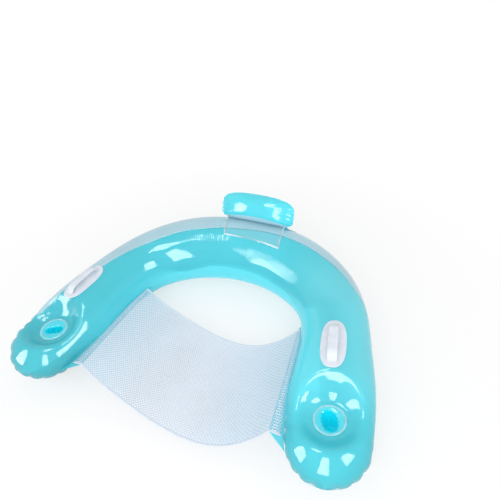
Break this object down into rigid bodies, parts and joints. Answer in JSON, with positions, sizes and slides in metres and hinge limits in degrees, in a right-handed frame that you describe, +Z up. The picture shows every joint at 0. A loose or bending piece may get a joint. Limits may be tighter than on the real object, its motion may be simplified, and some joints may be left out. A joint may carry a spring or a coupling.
{
  "type": "inflatable pool chair",
  "caption": "U-shaped inflatable pool float with a hanging mesh seat, cup wells and grab handles on the arms, an air pillow leaning back on the tube and push-in air valves",
  "frame": {"origin": "centre of the part's outline in plan, on the floor under it", "axes": "+Z up; +Y towards the closed back of the U; the arms point to -Y; +X to the sitter's left, so the node names left and right are as seen from the open front in the picture"},
  "size_m": [1.339, 0.9722, 0.3754],
  "materials": {
    "cyan_film": "clear cyan vinyl film, glossy",
    "pearl_film": "pearly translucent vinyl film, glossy",
    "cup_film": "cyan vinyl, glossy",
    "pillow_film": "clear cyan vinyl film, glossy",
    "weld_rim": "pale welded vinyl, satin",
    "clear_vinyl": "clear vinyl, glossy",
    "white_vinyl": "white vinyl, semi-gloss",
    "white_mesh": "open white polyester mesh, matte",
    "white_hem": "woven white binding, matte"
  },
  "bodies": {
    "float": {"upper_film": "cyan_film", "lower_film": "pearl_film", "cup_well_left": "cup_film", "cup_well_right": "cup_film", "cup_collar_left": "weld_rim", "cup_collar_right": "weld_rim", "handle_plate_left": "white_vinyl", "handle_plate_right": "white_vinyl", "handle_grip_left": "white_vinyl", "handle_grip_right": "white_vinyl", "pillow_front_film": "pillow_film", "pillow_back_film": "pillow_film", "pillow_front_skirt": "clear_vinyl", "pillow_back_skirt": "cyan_film", "seat_mesh": "white_mesh", "seat_front_hem": "white_hem", "seat_back_hem": "white_hem", "seat_strip_left": "cyan_film", "seat_strip_right": "cyan_film", "main_valve_flange": "clear_vinyl", "main_valve_web": "clear_vinyl", "pillow_valve_flange": "clear_vinyl", "pillow_valve_web": "clear_vinyl"},
    "main_stem": {"main_valve_stem": "white_vinyl"},
    "main_flap": {"main_valve_flap": "clear_vinyl"},
    "main_cap": {"main_valve_cap": "white_vinyl"},
    "pillow_stem": {"pillow_valve_stem": "white_vinyl"},
    "pillow_flap": {"pillow_valve_flap": "clear_vinyl"},
    "pillow_cap": {"pillow_valve_cap": "white_vinyl"}
  },
  "joints": [
    {"name": "main_stem_push", "type": "slide", "parent": "float", "child": "main_stem", "axis": [0, -1, 0], "range_m": [0, 0.009], "deforming": ["main_valve_web"]},
    {"name": "main_flap_hinge", "type": "hinge", "parent": "main_stem", "child": "main_flap", "pos_m": [0, 0.46291, 0.13], "axis": [1, 0, 0], "range_deg": [0, 60]},
    {"name": "main_cap_hinge", "type": "hinge", "parent": "main_stem", "child": "main_cap", "pos_m": [0, 0.48531, 0.1258], "axis": [-1, 0, 0], "range_deg": [0, 110]},
    {"name": "pillow_stem_push", "type": "slide", "parent": "float", "child": "pillow_stem", "axis": [0, -0.9063, 0.4226], "range_m": [0, 0.009], "deforming": ["pillow_valve_web"]},
    {"name": "pillow_flap_hinge", "type": "hinge", "parent": "pillow_stem", "child": "pillow_flap", "pos_m": [0.018, 0.43399, 0.3043], "axis": [1, 0, 0], "range_deg": [0, 60]},
    {"name": "pillow_cap_hinge", "type": "hinge", "parent": "pillow_stem", "child": "pillow_cap", "pos_m": [0.018, 0.45251, 0.29103], "axis": [-1, 0, 0], "range_deg": [0, 110]}
  ]
}
